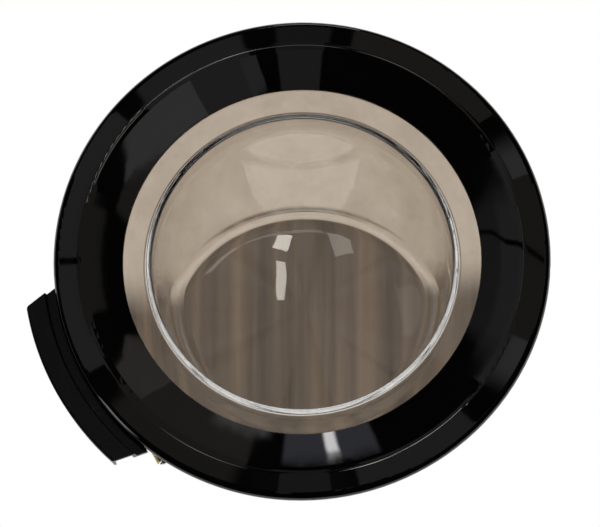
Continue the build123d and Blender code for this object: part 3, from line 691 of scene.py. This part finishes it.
def painted_shadow_mask(tree, place):
    """One where the painted shadow shows: below a line, and inside a round arch."""
    split = tree.nodes.new("ShaderNodeSeparateXYZ")
    tree.links.new(place, split.inputs[0])
    x, z = split.outputs[0], split.outputs[1]
    across = math_node(tree, "DIVIDE", math_node(tree, "SUBTRACT", x, ARCH_CENTRE[0]), ARCH_SIZE[0])
    up = math_node(tree, "DIVIDE", math_node(tree, "SUBTRACT", z, ARCH_CENTRE[1]), ARCH_SIZE[1])
    away = math_node(tree, "SQRT", math_node(
        tree, "ADD", math_node(tree, "POWER", across, 2.0), math_node(tree, "POWER", up, 2.0)))
    # The arch and the area below the line are where the painted shadow goes
    arch = smooth_step(tree, away, *ARCH_EDGE)
    line = math_node(tree, "SUBTRACT", z, math_node(tree, "MULTIPLY", x, LINE_SLOPE))
    below = smooth_step(tree, line, LINE_HEIGHT + LINE_BLUR, LINE_HEIGHT - LINE_BLUR)
    return math_node(tree, "MAXIMUM", arch, below)


def add_world():
    """Plain light on the object, and a white background."""
    world = bpy.data.worlds.new("studio")
    bpy.context.scene.world = world
    world.use_nodes = True
    tree = world.node_tree
    tree.nodes.clear()
    path = tree.nodes.new("ShaderNodeLightPath")
    seen = math_node(tree, "MAXIMUM", path.outputs["Is Camera Ray"], path.outputs["Is Glossy Ray"])
    seen = math_node(tree, "MAXIMUM", seen, path.outputs["Is Transmission Ray"])
    dim = tree.nodes.new("ShaderNodeBackground")
    dim.inputs["Strength"].default_value = WORLD_STRENGTH
    white = tree.nodes.new("ShaderNodeBackground")
    white.inputs["Strength"].default_value = 1.0
    for node in (dim, white):
        node.inputs["Color"].default_value = (1, 1, 1, 1)
    mix = tree.nodes.new("ShaderNodeMixShader")
    out = tree.nodes.new("ShaderNodeOutputWorld")
    tree.links.new(seen, mix.inputs[0])
    tree.links.new(dim.outputs[0], mix.inputs[1])
    tree.links.new(white.outputs[0], mix.inputs[2])
    tree.links.new(mix.outputs[0], out.inputs[0])


def add_floor():
    material = plain_surface("pale floor", (0.78,) * 3, (0.82,) * 3, (0.6, 0.8), 40.0, 0.0002)
    floor = add_plane("floor", (0, 0, FLOOR_HEIGHT), Vector((0, 0, 1)), 1, 1, material)
    floor.data.transform(Matrix.Scale(FLOOR_SIZE, 4))
    floor.visible_glossy = False
    floor.visible_transmission = False


def add_lamp(name, place, size, power):
    lamp = bpy.data.lights.new(name, "AREA")
    lamp.size = size
    lamp.energy = power
    obj = bpy.data.objects.new(name, lamp)
    obj.location = place
    obj.rotation_mode = "QUATERNION"
    obj.rotation_quaternion = (-Vector(place)).to_track_quat("-Z", "Y")
    bpy.context.scene.collection.objects.link(obj)
    obj.visible_glossy = False
    obj.visible_transmission = False


def add_camera():
    data = bpy.data.cameras.new("camera")
    data.sensor_width = SENSOR_MM
    data.lens = LENS_MM
    data.shift_x = (IMAGE_SIZE[0] / 2 - ORIGIN_PIXEL[0]) / IMAGE_SIZE[0]
    data.shift_y = (ORIGIN_PIXEL[1] - IMAGE_SIZE[1] / 2) / IMAGE_SIZE[0]
    data.clip_end = CLIP_END
    camera = bpy.data.objects.new("camera", data)
    back = direction(VIEW_AZIMUTH, VIEW_ELEVATION)
    camera.location = back * VIEW_DISTANCE
    camera.rotation_mode = "QUATERNION"
    camera.rotation_quaternion = (-back).to_track_quat("-Z", "Y")
    bpy.context.scene.collection.objects.link(camera)
    bpy.context.scene.camera = camera


materials = build_materials()
for part in frame["record"]["subparts"]:
    node = nodes[part["node"]]
    node.data.materials.clear()
    node.data.materials.append(materials[part["material_slot"]])
add_bowl(materials["door_glass"])
add_ring(materials["black_gloss"])
add_frame(materials["frame_grey"])
add_world()
add_floor()
add_reflections()
add_backing()
for name, values in LAMPS.items():
    add_lamp(name, *values)
add_camera()
bpy.context.scene.view_settings.view_transform = "Standard"
bpy.context.scene.cycles.max_bounces = GLASS_BOUNCES
bpy.context.scene.cycles.glossy_bounces = GLASS_BOUNCES
bpy.context.scene.cycles.transmission_bounces = GLASS_BOUNCES
